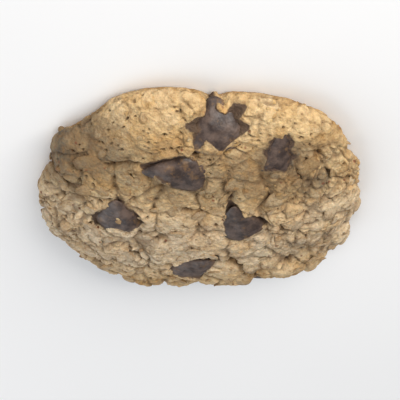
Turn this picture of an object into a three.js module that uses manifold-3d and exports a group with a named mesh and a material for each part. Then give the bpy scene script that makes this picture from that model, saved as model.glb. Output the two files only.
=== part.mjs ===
// An oatmeal chocolate chip cookie: one round of baked dough with a craggy, cracked crust, rolled oats
// that stand out of it, and chocolate chips set in the top, the rim and the base.
// Millimetres, +Z up. The cookie lies on its flat base, and the origin is the middle of that base.
import * as THREE from "three";
import { mergeVertices } from "three/addons/utils/BufferGeometryUtils.js";
import Module from "manifold-3d";

const wasm = await Module();
wasm.setup();

// Size of the cookie.
const RADIUS = 36.6;
const THICKNESS = 13.6; // at the middle of the dome, before the crust's relief
const RIM_HEIGHT = 3.8; // height of the widest part of the rim
const BASE_SHARE = 0.93; // radius of the flat base over the cookie's radius
const DOME_REACH_POWER = 2.6; // how far out the dome stays high
const DOME_DROP_POWER = 0.6; // how round its shoulder is

// Fineness of the faceted crust.
const CRUST_DETAIL = 15; // 20 * (CRUST_DETAIL + 1)^2 triangles
const BASE_FINENESS = 0.2; // triangles on the flat base, for the same area, over those on the crust
const SECTION_STEPS = 160; // along each of the section's three stretches

// Where the plan outline leaves a circle: an angle, how far out, and over how many degrees.
const OUTLINE_BULGES = [
  { angle: 12, out: 1.2, spread: 9 },
  { angle: 46, out: 4.0, spread: 26 },
  { angle: 84, out: -2.2, spread: 5 },
  { angle: 112, out: 3.2, spread: 18 },
  { angle: 150, out: 1.8, spread: 12 },
  { angle: 198, out: 2.4, spread: 16 },
  { angle: 232, out: 1.1, spread: 9 },
  { angle: 247, out: 1.4, spread: 9 },
  { angle: 270, out: -0.4, spread: 9 },
  { angle: 288, out: 1.4, spread: 8 },
  { angle: 314, out: 5.4, spread: 13 },
  { angle: 334, out: 3.0, spread: 10 },
  { angle: 355, out: 1.2, spread: 7 },
];

// Relief of the crust: the size of each kind of lump, and how high it stands.
const SWELL = { size: 19, height: 0.7 };
const CLOD = { size: 9, height: 1.8 };
const CRUMB = { size: 4.2, height: 0.4 };
const LUMP_MEAN = 0.68; // what lumps() gives on average
const WARP = { size: 7, reach: 1.6, crumbShare: 0.4 }; // bends the lumps so that no two are alike
const RELIEF_FADE = 2; // the relief dies out over this height above the base
const CALM = { from: 12, to: 30, share: 0.55 }; // towards +Y the crust loses this share of its relief
const SMOOTH_CLOD = { at: [-3.5, -10], reach: [10, 6.5], rise: 0.9, share: 0.65 }; // one broad, calm lump

// Oats under the crust's skin, laid like scales along a spiral.
const BURIED_OATS = 430;
const BURIED_COVER = 0.8; // share of the crust, from the middle of the top, that they lie in
const BURIED_HEIGHT = 0.85; // scales the heights below
const BURIED_FLOOR = -0.15; // between the oats
const BURIED_OAT = {
  halfLength: { least: 2.4, most: 4.3 },
  slimness: { least: 0.6, most: 0.8 }, // width over length
  height: { least: 0.35, most: 1.5, rarity: 2 }, // a rarity over 1 makes the high ones fewer
  stray: 1.5, // how far it lies from its place on the spiral
  tilt: 0.11,
  thinnest: 2.5, // an oat shows only this near to the smooth crust's level
  shoulder: { sharpness: 1.5, roundness: 0.45 }, // of its section
};

// Cracks: a line in plan, a half width and a depth.
const CRACKS = [
  { line: [[4.4, 42], [4.2, 37], [4, 32], [8.6, 33.4]], halfWidth: 1.2, depth: 2.2 },
  { line: [[4, 30], [0, 26.4], [-3, 23]], halfWidth: 1.1, depth: 1.8 },
  { line: [[-16.6, -12.5], [-10, -16], [-5, -18.4], [-1.2, -18.8]], halfWidth: 1.2, depth: 1.8 },
  { line: [[-1.2, -18.8], [3.6, -14.4], [7.4, -17.4], [13.4, -20.6]], halfWidth: 1.2, depth: 2.0 },
  { line: [[-6, 20.4], [-14, 22], [-21, 20]], halfWidth: 1.1, depth: 1.4 },
  { line: [[9, 1.6], [7.6, 8.4], [9, 14]], halfWidth: 1.1, depth: 1.6 },
  { line: [[13, -1], [21, -3], [28, -1]], halfWidth: 1.1, depth: 1.5 },
  { line: [[-18.8, 3], [-25.6, -1.6], [-30, -7]], halfWidth: 1.1, depth: 1.5 },
  { line: [[20, -22], [24, -16], [31, -15]], halfWidth: 1.1, depth: 1.6 },
];
const CRACK_FLOOR = 3; // cracks start above this height and reach full depth over as much again
const CRACK_WAVER = { size: 3, reach: 0.9 };

// Chocolate chips. A chip on the top or base is placed by x and y, one in the rim by its angle and height.
// tip is the way that its point lies and pitch how far the point is tipped up out of the crust, in degrees.
// size is its length and width, and sink how deep its middle is below the crust.
const CHIPS = [
  { name: "chip_top_rim", side: "top", at: [4.2, 31.8], tip: 95, pitch: 6, size: [12.4, 13.2], sink: 1.1 },
  { name: "chip_top_upper", side: "top", at: [-5.6, 19.4], tip: 174, pitch: 7, size: [15, 10.8], sink: 0.7 },
  { name: "chip_top_left", side: "top", at: [-18.8, 3.4], tip: 92, pitch: 11, size: [13, 12.4], sink: 0.4 },
  { name: "chip_top_right", side: "top", at: [9.2, 1.8], tip: 102, pitch: 10, size: [14.2, 12], sink: 0.4 },
  { name: "chip_top_lower", side: "top", at: [-0.8, -18.9], tip: 48, pitch: 10, size: [13, 10], sink: 0.4 },
  { name: "chip_top_far", side: "top", at: [18.6, 24.4], tip: 80, pitch: 8, size: [11.4, 9], sink: 1.2 },
  { name: "chip_rim_left", side: "rim", at: [242, 5.8], tip: 20, pitch: 6, size: [8.8, 7.4], sink: 1.1 },
  { name: "chip_rim_right", side: "rim", at: [294, 5.6], tip: 200, pitch: 6, size: [8.6, 7.2], sink: 1.1 },
  { name: "chip_rim_far", side: "rim", at: [267, 5.8], tip: 165, pitch: 6, size: [8.8, 7.2], sink: 1.1 },
  { name: "chip_base_left", side: "base", at: [-15, 10], tip: 210, pitch: 0, size: [10.5, 9], sink: 1.1 },
  { name: "chip_base_right", side: "base", at: [17, -9], tip: 35, pitch: 0, size: [11, 9.5], sink: 1.1 },
  { name: "chip_base_near", side: "base", at: [-6, -21], tip: 300, pitch: 0, size: [10, 8.5], sink: 1.1 },
];
// Half of a chip's section, from its round end to its point: out over half its width, along over its length.
const CHIP_SECTION = [
  { out: 0, along: -0.5 },
  { out: 0.72, along: -0.5 },
  { out: 0.96, along: -0.4 },
  { out: 0.99, along: -0.27 },
  { out: 0.83, along: -0.06 },
  { out: 0.58, along: 0.15 },
  { out: 0.34, along: 0.34 },
  { out: 0.16, along: 0.46 },
  { out: 0, along: 0.5 },
];
const CHIP_THICKNESS = 0.46; // over its width, since the chips soften and settle in the oven
const CHIP_SEGMENTS = 12;
const CHIP_GAP = 0.3; // left round each chip in its socket
const CHIP_BASE_RECESS = 0.3; // how far a chip in the base stays above the surface that the cookie lies on
const SOCKET_LEVEL = -0.5; // relief of the crust where a chip comes through it
const SOCKET_BLEND = 1.6; // the crust rises back to its own relief over this width round a chip

// Rolled oats that stand out of the crust.
const FLAKES = 78;
const FLAKE_COVER = 0.8;
const FLAKE_TURN = 1.3; // their spiral starts at this angle, clear of the buried oats' one
const FLAKE = {
  length: { least: 5.2, most: 7.4 },
  slimness: 0.68,
  thickness: 1.1,
  roll: 0.15,
  pitch: 0.3,
  lift: -0.3,
};
const FLAKE_SEGMENTS = 8;
const FLAKE_CLEARANCE = 2.2; // between a flake's middle and the edge of a chip
const FLAKE_LOWEST = 7;
const FLAKE_MOST_Y = 24; // the calm part of the rim has none

// Each kind of random draw has a number of its own.
const DRAWS = {
  swell: 3, warp: 11, clod: 21, crumb: 31, crack: 71,
  oatTurn: 101, oatAcross: 102, oatAlong: 103, oatLength: 104, oatSlimness: 105, oatHeight: 106, oatTilt: 107,
  flakeLength: 201, flakeRoll: 202, flakePitch: 203, flakeTurn: 204,
};

const GOLDEN_ANGLE = Math.PI * (3 - Math.sqrt(5));
const degrees = THREE.MathUtils.degToRad;
const { clamp, lerp, smoothstep } = THREE.MathUtils;
const pick = ({ least, most }, share) => lerp(least, most, share);

// The same number from 0 to 1 each time for the same four whole numbers.
function scatter(i, j, k, draw) {
  let h = Math.imul(i, 374761393) ^ Math.imul(j, 668265263);
  h ^= Math.imul(k, 3266489917) ^ Math.imul(draw, 2246822519);
  h = Math.imul(h ^ (h >>> 15), 2654435761);
  h = Math.imul(h ^ (h >>> 13), 3266489917);
  return ((h ^ (h >>> 16)) >>> 0) / 4294967296;
}

// Smooth noise from -1 to 1 that changes over the given size.
function noise(p, size, draw) {
  const q = p.clone().divideScalar(size);
  const cell = q.clone().floor();
  const weight = q.sub(cell);
  const ease = (t) => t * t * (3 - 2 * t);
  const share = (corner, t) => (corner ? ease(t) : 1 - ease(t));
  let sum = 0;
  for (const i of [0, 1])
    for (const j of [0, 1])
      for (const k of [0, 1])
        sum +=
          share(i, weight.x) * share(j, weight.y) * share(k, weight.z) *
          scatter(cell.x + i, cell.y + j, cell.z + k, draw);
  return 2 * sum - 1;
}

function noiseVector(p, size, draw) {
  return new THREE.Vector3(noise(p, size, draw), noise(p, size, draw + 1), noise(p, size, draw + 2));
}

// Rounded lumps: 1 at the middle of each, falling to about 0 where they meet.
function lumps(p, size, draw) {
  const q = p.clone().divideScalar(size);
  const cell = q.clone().floor();
  const middle = new THREE.Vector3();
  const within = (i, j, k, axis) => scatter(i, j, k, draw + axis);
  let nearest = 1;
  for (let i = cell.x - 1; i <= cell.x + 1; i++)
    for (let j = cell.y - 1; j <= cell.y + 1; j++)
      for (let k = cell.z - 1; k <= cell.z + 1; k++) {
        middle.set(i + within(i, j, k, 0), j + within(i, j, k, 1), k + within(i, j, k, 2));
        nearest = Math.min(nearest, q.distanceToSquared(middle));
      }
  return 1 - nearest;
}

// Radius of the plan outline at an angle in radians.
function outline(angle) {
  let radius = RADIUS;
  for (const bulge of OUTLINE_BULGES) {
    const turn = THREE.MathUtils.euclideanModulo((angle * 180) / Math.PI - bulge.angle + 180, 360) - 180;
    radius += bulge.out * Math.exp(-((turn / bulge.spread) ** 2));
  }
  return radius;
}

// Height of the dome at a share of the radius.
function domeHeight(reach) {
  return RIM_HEIGHT + (THICKNESS - RIM_HEIGHT) * (1 - reach ** DOME_REACH_POWER) ** DOME_DROP_POWER;
}

// Half of the cookie's section, from the middle of the top, round the rim, to the middle of the base.
// x is a share of the radius and y a height.
function halfSection() {
  const points = [];
  for (let i = 0; i <= SECTION_STEPS; i++) {
    const reach = Math.sin((i / SECTION_STEPS) * (Math.PI / 2));
    points.push(new THREE.Vector2(reach, domeHeight(reach)));
  }
  for (let i = 1; i <= SECTION_STEPS; i++) {
    const turn = (i / SECTION_STEPS) * (Math.PI / 2);
    const reach = BASE_SHARE + (1 - BASE_SHARE) * Math.cos(turn);
    points.push(new THREE.Vector2(reach, RIM_HEIGHT * (1 - Math.sin(turn))));
  }
  for (let i = 1; i <= SECTION_STEPS; i++) {
    points.push(new THREE.Vector2(BASE_SHARE * (1 - i / SECTION_STEPS), 0));
  }
  return points;
}

// The same section with, at each point, its outward normal and the share of the surface that lies before it.
function measuredSection() {
  const points = halfSection();
  const stops = points.map((point, i) => {
    const before = points[Math.max(i - 1, 0)];
    const after = points[Math.min(i + 1, points.length - 1)];
    const normal = new THREE.Vector2(before.y - after.y, (after.x - before.x) * RADIUS).normalize();
    return { point, normal, share: 0 };
  });
  for (let i = 1; i < stops.length; i++) {
    const [a, b] = [points[i - 1], points[i]];
    const length = Math.hypot((b.x - a.x) * RADIUS, b.y - a.y);
    const fineness = a.y === 0 ? BASE_FINENESS : 1;
    stops[i].share = stops[i - 1].share + length * (a.x + b.x) * fineness;
  }
  const whole = stops.at(-1).share;
  for (const stop of stops) stop.share /= whole;
  return stops;
}

const SECTION = measuredSection();

// A point of the smooth cookie and its outward normal, from a share of the surface and an angle.
function smoothPoint(share, angle) {
  let high = SECTION.findIndex((stop) => stop.share >= share);
  high = Math.max(high, 1);
  const [a, b] = [SECTION[high - 1], SECTION[high]];
  const t = clamp((share - a.share) / (b.share - a.share), 0, 1);
  const at = a.point.clone().lerp(b.point, t);
  const slope = a.normal.clone().lerp(b.normal, t);
  const radius = at.x * outline(angle);
  return {
    point: new THREE.Vector3(radius * Math.cos(angle), radius * Math.sin(angle), at.y),
    normal: new THREE.Vector3(slope.x * Math.cos(angle), slope.x * Math.sin(angle), slope.y).normalize(),
  };
}

// The spot that a direction from the cookie's middle stands for, with equal areas for equal solid angles.
function spotOf(direction) {
  return smoothPoint((1 - direction.z) / 2, Math.atan2(direction.y, direction.x));
}

// Spots spread evenly along a spiral over the first part of the surface.
function spiralSpots(count, cover, turn) {
  const spot = (_, k) => smoothPoint((cover * (k + 0.5)) / count, k * GOLDEN_ANGLE + turn);
  return Array.from({ length: count }, spot);
}

// The share of the surface where its section first passes a test.
const shareWhere = (test) => SECTION.find(test).share;

// Where a chip sits: a spot on the smooth cookie.
function chipSpot({ side, at }) {
  if (side === "rim") {
    const [angle, height] = at;
    const share = shareWhere((stop) => stop.point.x > 0.5 && stop.point.y <= height);
    return smoothPoint(share, degrees(angle));
  }
  const [x, y] = at;
  if (side === "base") return { point: new THREE.Vector3(x, y, 0), normal: new THREE.Vector3(0, 0, -1) };
  const angle = Math.atan2(y, x);
  const reach = Math.hypot(x, y) / outline(angle);
  return smoothPoint(shareWhere((stop) => stop.point.x >= reach), angle);
}

// A frame that lies flat on the surface at a spot: x points along turn, y to its left and z outwards.
function surfaceFrame(spot, turn) {
  const side = new THREE.Vector3(0, 0, 1);
  if (Math.abs(spot.normal.z) > 0.8) side.set(0, 1, 0);
  const across = side.cross(spot.normal).normalize();
  const along = spot.normal.clone().cross(across);
  const x = across.multiplyScalar(Math.cos(turn)).addScaledVector(along, Math.sin(turn));
  const y = spot.normal.clone().cross(x);
  return new THREE.Matrix4().makeBasis(x, y, spot.normal);
}

const CHIP_SEATS = CHIPS.map((chip) => {
  const spot = chipSpot(chip);
  const frame = surfaceFrame(spot, degrees(chip.side === "base" ? 180 - chip.tip : chip.tip));
  const [length, width] = chip.size;
  return { ...chip, length, width, spot, frame, toSeat: frame.clone().setPosition(spot.point).invert() };
});

// How far a point is outside the nearest chip's own outline, in millimetres, or below 0 inside it.
function clearOfChips(p) {
  let clear = Infinity;
  for (const seat of CHIP_SEATS) {
    const local = p.clone().applyMatrix4(seat.toSeat);
    if (Math.abs(local.z) > seat.width) continue;
    const reach = Math.hypot(local.x / seat.length, local.y / seat.width) * 2;
    clear = Math.min(clear, ((reach - 1) * seat.width) / 2);
  }
  return clear;
}

// Oats just under the skin. Each is an oval with its own place, turn, height and tilt.
const BURIED = spiralSpots(BURIED_OATS, BURIED_COVER, 0).map((spot, k) => {
  const draw = (kind) => scatter(k, 0, 0, kind);
  const stray = (kind) => BURIED_OAT.stray * (2 * draw(kind) - 1);
  const frame = surfaceFrame(spot, 2 * Math.PI * draw(DRAWS.oatTurn));
  const shift = new THREE.Vector3(stray(DRAWS.oatAcross), stray(DRAWS.oatAlong), 0).applyMatrix4(frame);
  const long = pick(BURIED_OAT.halfLength, draw(DRAWS.oatLength));
  return {
    toOat: frame.clone().setPosition(spot.point.clone().add(shift)).invert(),
    long,
    wide: long * pick(BURIED_OAT.slimness, draw(DRAWS.oatSlimness)),
    height: pick(BURIED_OAT.height, draw(DRAWS.oatHeight) ** BURIED_OAT.height.rarity),
    tilt: BURIED_OAT.tilt * (2 * draw(DRAWS.oatTilt) - 1),
  };
});

function buriedOats(p) {
  const { sharpness, roundness } = BURIED_OAT.shoulder;
  let highest = BURIED_FLOOR;
  for (const oat of BURIED) {
    const local = p.clone().applyMatrix4(oat.toOat);
    const reach = (local.x / oat.long) ** 2 + (local.y / oat.wide) ** 2;
    if (reach >= 1 || Math.abs(local.z) > BURIED_OAT.thinnest) continue;
    highest = Math.max(highest, oat.height * (1 - reach ** sharpness) ** roundness + oat.tilt * local.x);
  }
  return highest;
}

function distanceToLine(x, y, line) {
  let nearest = Infinity;
  for (let i = 1; i < line.length; i++) {
    const [ax, ay] = line[i - 1];
    const [bx, by] = line[i];
    const along = ((x - ax) * (bx - ax) + (y - ay) * (by - ay)) / ((bx - ax) ** 2 + (by - ay) ** 2);
    const t = clamp(along, 0, 1);
    nearest = Math.min(nearest, Math.hypot(x - ax - t * (bx - ax), y - ay - t * (by - ay)));
  }
  return nearest;
}

// Depth of the cracks at a point of the crust.
function crackDepth(p) {
  const x = p.x + CRACK_WAVER.reach * noise(p, CRACK_WAVER.size, DRAWS.crack);
  const y = p.y + CRACK_WAVER.reach * noise(p, CRACK_WAVER.size, DRAWS.crack + 1);
  let depth = 0;
  for (const crack of CRACKS) {
    const open = clamp(1 - (distanceToLine(x, y, crack.line) / crack.halfWidth) ** 2, 0, 1);
    depth = Math.max(depth, crack.depth * open ** 1.5);
  }
  return depth * clamp((p.z - CRACK_FLOOR) / CRACK_FLOOR, 0, 1);
}

// How much of the smooth clod is here, from 0 to 1.
function smoothClod(p) {
  const [x, y] = SMOOTH_CLOD.at;
  const [long, wide] = SMOOTH_CLOD.reach;
  const distance = Math.hypot((p.x - x) / long, (p.y - y) / wide);
  return p.z > CRACK_FLOOR ? 1 - smoothstep(distance, 0.6, 1.1) : 0;
}

// How far the crust stands out of the smooth cookie at a point.
function relief(p) {
  const warp = noiseVector(p, WARP.size, DRAWS.warp).multiplyScalar(WARP.reach);
  const atClod = p.clone().add(warp);
  const atCrumb = atClod.clone().addScaledVector(warp, WARP.crumbShare);
  const lumpy =
    SWELL.height * noise(p, SWELL.size, DRAWS.swell) +
    CLOD.height * (lumps(atClod, CLOD.size, DRAWS.clod) - LUMP_MEAN) +
    CRUMB.height * (lumps(atCrumb, CRUMB.size, DRAWS.crumb) - LUMP_MEAN) +
    BURIED_HEIGHT * buriedOats(p);
  const smooth = smoothClod(p);
  const calm = (1 - CALM.share * smoothstep(p.y, CALM.from, CALM.to)) * (1 - SMOOTH_CLOD.share * smooth);
  const height = lumpy * calm + SMOOTH_CLOD.rise * smooth - crackDepth(p);
  return lerp(SOCKET_LEVEL, height, smoothstep(clearOfChips(p), 0, SOCKET_BLEND));
}

// A spot moved out to the crust.
function onCrust(spot) {
  const fade = clamp(spot.point.z / RELIEF_FADE, 0, 1);
  const point = spot.point.clone().addScaledVector(spot.normal, relief(spot.point) * fade);
  point.z = Math.max(point.z, 0);
  return point;
}

// A closed solid from a three.js geometry.
function solid(geometry) {
  const bare = new THREE.BufferGeometry().setAttribute("position", geometry.getAttribute("position"));
  bare.setIndex(geometry.index);
  const merged = mergeVertices(bare, 1e-4);
  return new wasm.Manifold(
    new wasm.Mesh({
      numProp: 3,
      vertProperties: merged.getAttribute("position").array,
      triVerts: new Uint32Array(merged.index.array),
    }),
  );
}

// A three.js geometry from the largest body of a solid, with any hollow sealed in it filled.
function geometryOf(whole) {
  const body = whole.decompose().sort((a, b) => b.volume() - a.volume())[0];
  const mesh = body.getMesh();
  return new THREE.BufferGeometry()
    .setAttribute("position", new THREE.BufferAttribute(mesh.vertProperties, 3))
    .setIndex(new THREE.BufferAttribute(mesh.triVerts, 1));
}

// The dough: a ball of even triangles pressed into the cookie's shape.
function crustGeometry() {
  const ball = mergeVertices(
    new THREE.BufferGeometry().setAttribute(
      "position",
      new THREE.IcosahedronGeometry(1, CRUST_DETAIL).getAttribute("position"),
    ),
    1e-5,
  );
  const positions = ball.getAttribute("position");
  for (let i = 0; i < positions.count; i++) {
    const direction = new THREE.Vector3().fromBufferAttribute(positions, i);
    const point = onCrust(spotOf(direction));
    positions.setXYZ(i, point.x, point.y, point.z);
  }
  return ball;
}

// A chip: a teardrop lying on its side with its point along +X, settled flatter than it is wide.
function chipGeometry(length, width) {
  const section = CHIP_SECTION.map(({ out, along }) => new THREE.Vector2((out * width) / 2, along * length));
  return new THREE.LatheGeometry(section, CHIP_SEGMENTS).rotateZ(-Math.PI / 2).scale(1, 1, CHIP_THICKNESS);
}

function chipSolid(seat, gap) {
  const middle = seat.spot.point.clone().addScaledVector(seat.spot.normal, -seat.sink);
  const geometry = chipGeometry(seat.length + 2 * gap, seat.width + 2 * gap).rotateY(-degrees(seat.pitch));
  return solid(geometry.applyMatrix4(seat.frame.clone().setPosition(middle)));
}

// A slab under the cookie, up to the given height.
function slabBelow(height) {
  const side = 4 * RADIUS;
  return solid(new THREE.BoxGeometry(side, side, side).translate(0, 0, height - side / 2));
}

// A flake: a flat oval that lies a little askew on the crust.
function flakeSolid(spot, k) {
  const draw = (kind) => scatter(k, 1, 0, kind);
  const long = pick(FLAKE.length, draw(DRAWS.flakeLength));
  const geometry = new THREE.SphereGeometry(1, FLAKE_SEGMENTS, 3)
    .rotateX(Math.PI / 2)
    .scale(long / 2, (long * FLAKE.slimness) / 2, FLAKE.thickness / 2)
    .rotateX(FLAKE.roll * (2 * draw(DRAWS.flakeRoll) - 1))
    .rotateY(FLAKE.pitch * (2 * draw(DRAWS.flakePitch) - 1));
  const frame = surfaceFrame(spot, 2 * Math.PI * draw(DRAWS.flakeTurn));
  const middle = onCrust(spot).addScaledVector(spot.normal, FLAKE.lift);
  return solid(geometry.applyMatrix4(frame.setPosition(middle)));
}

function flakeSolids() {
  const isOpen = (p) => p.z >= FLAKE_LOWEST && p.y <= FLAKE_MOST_Y;
  const isFree = ({ point }) =>
    isOpen(point) && clearOfChips(point) >= FLAKE_CLEARANCE && crackDepth(point) === 0;
  return spiralSpots(FLAKES, FLAKE_COVER, FLAKE_TURN).filter(isFree).map(flakeSolid);
}

const dough = new THREE.MeshStandardMaterial({ color: 0xbf935b, roughness: 0.85, metalness: 0 });
const chocolate = new THREE.MeshStandardMaterial({ color: 0x3a2722, roughness: 0.45, metalness: 0 });

function makeMesh(name, geometry, material) {
  geometry.computeVertexNormals();
  const mesh = new THREE.Mesh(geometry, material);
  mesh.name = name;
  return mesh;
}

function buildCookie() {
  const cookie = new THREE.Group();
  let body = solid(crustGeometry());
  for (const flake of flakeSolids()) body = body.add(flake);
  for (const seat of CHIP_SEATS) {
    body = body.subtract(chipSolid(seat, CHIP_GAP));
    let chip = chipSolid(seat, 0);
    if (seat.side === "base") chip = chip.subtract(slabBelow(CHIP_BASE_RECESS));
    cookie.add(makeMesh(seat.name, geometryOf(chip), chocolate));
  }
  cookie.add(makeMesh("cookie", geometryOf(body), dough));

  // The irregular outline is centred on the origin.
  const middle = new THREE.Box3().setFromObject(cookie).getCenter(new THREE.Vector3());
  cookie.children.forEach((mesh) => mesh.position.set(-middle.x, -middle.y, 0));
  return cookie;
}

export default buildCookie();
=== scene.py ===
# The finish of an oatmeal chocolate chip cookie: its craggy crust with oats bedded in it, the flakes and
# crumbs that stand out of it, and its soft chocolate chips, on a plain pale floor.
import math

import bmesh
import bpy
import numpy as np
from mathutils import Matrix, Vector


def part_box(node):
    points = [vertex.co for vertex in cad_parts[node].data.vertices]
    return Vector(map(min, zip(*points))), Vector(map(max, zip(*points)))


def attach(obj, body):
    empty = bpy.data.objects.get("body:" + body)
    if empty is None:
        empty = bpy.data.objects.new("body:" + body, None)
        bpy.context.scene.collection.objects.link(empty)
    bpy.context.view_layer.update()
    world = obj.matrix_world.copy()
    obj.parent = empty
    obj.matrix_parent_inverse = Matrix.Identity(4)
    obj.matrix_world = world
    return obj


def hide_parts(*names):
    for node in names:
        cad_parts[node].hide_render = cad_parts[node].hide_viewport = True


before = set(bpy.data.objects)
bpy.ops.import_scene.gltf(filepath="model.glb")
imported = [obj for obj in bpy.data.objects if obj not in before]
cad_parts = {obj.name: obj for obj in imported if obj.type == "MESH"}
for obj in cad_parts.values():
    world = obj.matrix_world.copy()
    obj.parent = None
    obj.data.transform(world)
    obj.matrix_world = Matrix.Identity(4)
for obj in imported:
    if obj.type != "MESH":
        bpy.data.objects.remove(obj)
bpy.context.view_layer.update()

MM = 0.001  # the cookie is worked out in millimetres

# ---------- Sizes of the cookie, in millimetres and degrees ----------

RADIUS = 36.6
THICKNESS = 13.6
RIM_HEIGHT = 3.8
BASE_SHARE = 0.93
DOME_REACH_POWER = 2.6
DOME_DROP_POWER = 0.6
BASE_FINENESS = 0.2
SECTION_STEPS = 160

# Where the plan outline leaves a circle: angle, how far out, and over how many degrees.
OUTLINE_BULGES = [
    (12, 1.2, 9), (46, 4.0, 26), (84, -2.2, 5), (112, 3.2, 18), (150, 1.8, 12), (198, 2.4, 16),
    (232, 1.1, 9), (247, 1.4, 9), (270, -0.4, 9), (288, 1.4, 8), (314, 5.4, 13), (334, 3.0, 10),
    (355, 1.2, 7),
]

# Relief: the size of each kind of lump, and how high it stands.
SWELL = (19, 0.7)
CLOD = (9, 1.8)
CRUMB_LUMP = (4.2, 0.4)
GRAIN = (1.9, 0.32)
GRIT = (0.95, 0.22)
LUMP_MEAN = 0.68
WARP_SIZE, WARP_REACH, WARP_CRUMB_SHARE, WARP_GRAIN_SHARE = 7, 1.6, 0.4, 0.25
RAGGED_SIZE, RAGGED_REACH = 1.7, 0.6  # frays the outlines of the buried oats
RELIEF_FADE = 2
CALM_FROM, CALM_TO, CALM_SHARE = 12, 30, 0.55  # towards +Y the crust loses this share of its relief
SMOOTH_CLOD_AT, SMOOTH_CLOD_REACH = (-3.5, -10), (10, 6.5)  # one broad, calm lump
SMOOTH_CLOD_RISE, SMOOTH_CLOD_SHARE, SMOOTH_CLOD_EDGE = 0.9, 0.65, (0.6, 1.1)
GAP_WIDTH, GAP_DEPTH, GAP_RAGGED = 0.12, 0.6, 0.08  # the gaps between the largest lumps
FISSURE_SIZE, FISSURE_WIDTH, FISSURE_DEPTH = 4.6, 0.15, 0.7  # the finer cracks
PORES = ((2.3, 0.24, 1.1), (1.3, 0.26, 0.5))  # spacing, radius over spacing, and depth
PORE_RAGGED, PORE_FLOOR = 1.1, 0.4  # how uneven a pore's edge is, and the share of its radius at full depth
# Soft patches: size of the noise, and the levels between which a patch sets in.
FISSURE_PATCHES = (9, 0, 0.35)
PORE_PATCHES = (5, -0.3, 0.3)
ORANGE_PATCHES = (6.5, 0.05, 0.5)

# Oats under the skin.
BURIED_OATS = 430
BURIED_COVER = 0.8
BURIED_HEIGHT = 0.85
BURIED_FLOOR = -0.15
BURIED_HALF_LENGTH = (2.4, 4.3)
BURIED_SLIMNESS = (0.6, 0.8)
BURIED_TALLNESS = (0.35, 1.5)
BURIED_RARITY = 2
BURIED_STRAY = 1.5
BURIED_TILT = 0.11
BURIED_REACH = 2.5
BURIED_SHARPNESS, BURIED_ROUNDNESS = 1.5, 0.45
BURIED_CREASE = (0.3, 0.16)  # half width and depth of the fold along an oat
BURIED_CREASE_END = 1.4  # over 1, it ends before the oat does

# Cracks: a line in plan, a half width and a depth.
CRACKS = [
    ([(4.4, 42), (4.2, 37), (4, 32), (8.6, 33.4)], 1.2, 2.2),
    ([(4, 30), (0, 26.4), (-3, 23)], 1.1, 1.8),
    ([(-16.6, -12.5), (-10, -16), (-5, -18.4), (-1.2, -18.8)], 1.2, 1.8),
    ([(-1.2, -18.8), (3.6, -14.4), (7.4, -17.4), (13.4, -20.6)], 1.2, 2.0),
    ([(-6, 20.4), (-14, 22), (-21, 20)], 1.1, 1.4),
    ([(9, 1.6), (7.6, 8.4), (9, 14)], 1.1, 1.6),
    ([(13, -1), (21, -3), (28, -1)], 1.1, 1.5),
    ([(-18.8, 3), (-25.6, -1.6), (-30, -7)], 1.1, 1.5),
    ([(20, -22), (24, -16), (31, -15)], 1.1, 1.6),
]
CRACK_FLOOR = 3
CRACK_WAVER_SIZE, CRACK_WAVER_REACH = 3, 0.9

# Chocolate chips: side, place (x and y, or angle and height on the rim), way of the point, how far the point
# is tipped up, length, width and how deep the middle is below the smooth crust.
CHIPS = {
    "chip_top_rim": ("top", 4.2, 31.8, 95, 6, 12.4, 13.2, 1.1),
    "chip_top_upper": ("top", -5.6, 19.4, 174, 7, 15, 10.8, 0.7),
    "chip_top_left": ("top", -18.8, 3.4, 92, 11, 13, 12.4, 0.4),
    "chip_top_right": ("top", 9.2, 1.8, 102, 10, 14.2, 12, 0.4),
    "chip_top_lower": ("top", -0.8, -18.9, 48, 10, 13, 10, 0.4),
    "chip_top_far": ("top", 18.6, 24.4, 80, 8, 11.4, 9, 1.2),
    "chip_rim_left": ("rim", 242, 5.8, 20, 6, 8.8, 7.4, 1.1),
    "chip_rim_right": ("rim", 294, 5.6, 200, 6, 8.6, 7.2, 1.1),
    "chip_rim_far": ("rim", 267, 5.8, 165, 6, 8.8, 7.2, 1.1),
    "chip_base_left": ("base", -15, 10, 210, 0, 10.5, 9, 1.1),
    "chip_base_right": ("base", 17, -9, 35, 0, 11, 9.5, 1.1),
    "chip_base_near": ("base", -6, -21, 300, 0, 10, 8.5, 1.1),
}
# Half of a chip's section, from its round end to its point: out over half its width, along over its length.
CHIP_SECTION = [
    (0, -0.5), (0.72, -0.5), (0.96, -0.4), (0.99, -0.27), (0.83, -0.06), (0.58, 0.15), (0.34, 0.34),
    (0.16, 0.46), (0, 0.5),
]
CHIP_OUT, CHIP_ALONG = zip(*CHIP_SECTION)
CHIP_THICKNESS = 0.46
CHIP_BASE_RECESS = 0.3
CHIP_TURNS = 56
CHIP_STEPS = 7  # along each stretch of the section
CHIP_DENTS = ((6.5, 0.5), (2.6, 0.2), (1.1, 0.07))  # size and height of a chip's unevenness
CHIP_SCOOPS = (4.4, 0.9)  # size and depth of the scoops between its soft ridges
CHIP_DROOP = {"chip_top_rim": 0.035}  # how sharply a softened point bends down over the rim
SOCKET_LEVEL = -0.5
SOCKET_BLEND = 1.6
SOCKET_RAGGED = ((4.5, 1.1), (2.0, 0.7), (0.9, 0.3))  # size and reach of a socket's uneven edge
LIP_HEIGHT, LIP_WIDTH, LIP_AWAY = 0.35, 0.9, 0.8  # the dough swells up where it meets a chip
COVER_THICKNESS, COVER_MOST = 0.25, 2.6  # dough that has run over a chip, and how high it stands at most
COVER_FROM, COVER_TO = -0.5, 0.5
COVER_POINT, COVER_THINNING = 0.26, 0.6  # past this share of its length the dough over a chip thins out
SMUDGE_FROM, SMUDGE_TO = -0.4, 1.8  # how far melted chocolate has stained the dough in places
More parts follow.
